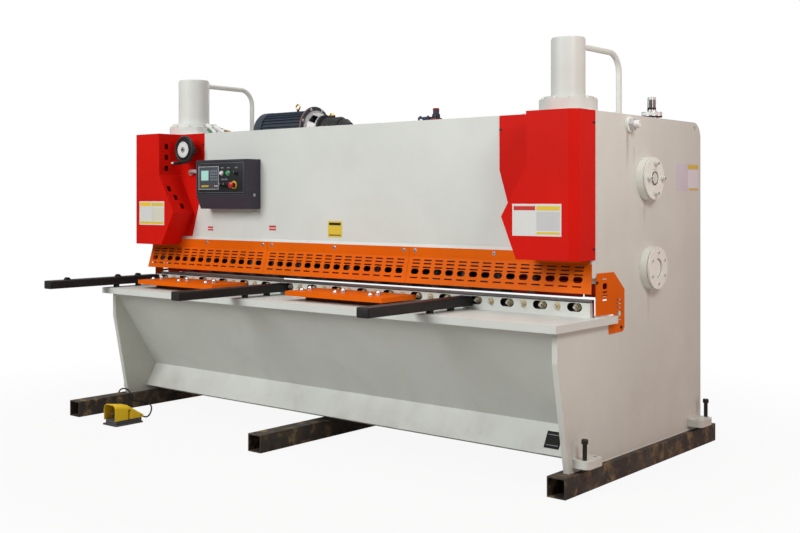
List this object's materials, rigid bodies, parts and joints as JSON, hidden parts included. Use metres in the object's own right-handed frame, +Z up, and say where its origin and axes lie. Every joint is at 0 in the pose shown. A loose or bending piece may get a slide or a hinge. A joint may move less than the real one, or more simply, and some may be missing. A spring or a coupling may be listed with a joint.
{
  "type": "sheet metal shear",
  "caption": "Hydraulic guillotine shear with slotted finger guards, red corner covers, upright cylinders, table with support arms and foot pedal, standing on skid tubes.",
  "frame": {"origin": "on the floor, in the middle of the machine's width and of its overall depth", "axes": "+X along the blades to the operator's right, -Y towards the operator, +Z up"},
  "size_m": [3.6409, 2.29, 2.267],
  "materials": {
    "white_paint": "semi-gloss, dusty and lightly soiled",
    "red_paint": "semi-gloss",
    "orange_paint": "semi-gloss",
    "yellow_paint": "semi-gloss",
    "blade_steel": "ground",
    "black_paint": "satin",
    "skid_steel": "dull with rust patches",
    "motor_paint": "semi-gloss",
    "dark_iron": "satin",
    "bell_aluminium": "cast, silver painted",
    "valve_paint": "satin",
    "plated_steel": "plated",
    "box_paint": "textured satin",
    "red_plastic": "gloss",
    "black_plastic": "satin",
    "cable_rubber": "matt"
  },
  "bodies": {
    "frame": {"left_side_plate": "white_paint", "right_side_plate": "white_paint", "bed_apron": "white_paint", "bed_beam": "white_paint", "work_table": "white_paint", "blade_block": "white_paint", "lower_blade": "blade_steel", "front_panel": "white_paint", "hold_down_cylinders": "black_paint", "left_finger_guard": "orange_paint", "middle_finger_guard": "orange_paint", "right_finger_guard": "orange_paint", "left_red_cover": "red_paint", "right_red_cover": "red_paint", "left_cylinder": "white_paint", "right_cylinder": "white_paint", "left_oil_pipe": "white_paint", "right_oil_pipe": "white_paint", "oil_tank": "white_paint", "motor": "motor_paint", "bell_housing": "bell_aluminium", "gear_pump": "dark_iron", "valve_block": "valve_paint", "breather": "plated_steel", "control_box": "box_paint", "left_throat_guard": "orange_paint", "right_throat_guard": "orange_paint", "left_side_fittings": "white_paint", "right_side_fittings": "white_paint", "left_support_arm": "black_paint", "middle_support_arm": "black_paint", "right_support_arm": "black_paint", "left_table_tray": "orange_paint", "right_table_tray": "orange_paint", "left_skid": "skid_steel", "middle_skid": "skid_steel", "right_skid": "skid_steel", "pedal_base": "black_plastic", "pedal_hood": "yellow_paint", "pedal_cable": "cable_rubber"},
    "ram_body": {"ram": "red_paint", "upper_blade": "blade_steel"},
    "wheel_body": {"handwheel": "black_plastic"},
    "stop_body": {"emergency_stop": "red_plastic"},
    "treadle_body": {"pedal_treadle": "plated_steel"}
  },
  "joints": [
    {"name": "ram_stroke", "type": "slide", "parent": "frame", "child": "ram_body", "axis": [0, 0, 1], "range_m": [-0.09, 0]},
    {"name": "wheel_turn", "type": "hinge", "parent": "frame", "child": "wheel_body", "pos_m": [-1.281, -0.354, 1.757], "axis": [0, 1, 0], "continuous": true},
    {"name": "stop_push", "type": "slide", "parent": "frame", "child": "stop_body", "axis": [0, 1, 0], "range_m": [0, 0.006], "stiffness_N_per_m": 1500, "springref_m": -0.002},
    {"name": "treadle_tip", "type": "hinge", "parent": "frame", "child": "treadle_body", "pos_m": [-1.277, -0.817, 0.056], "axis": [1, 0, 0], "range_deg": [0, 9], "stiffness_Nm_per_rad": 12, "springref_deg": -6.88}
  ]
}
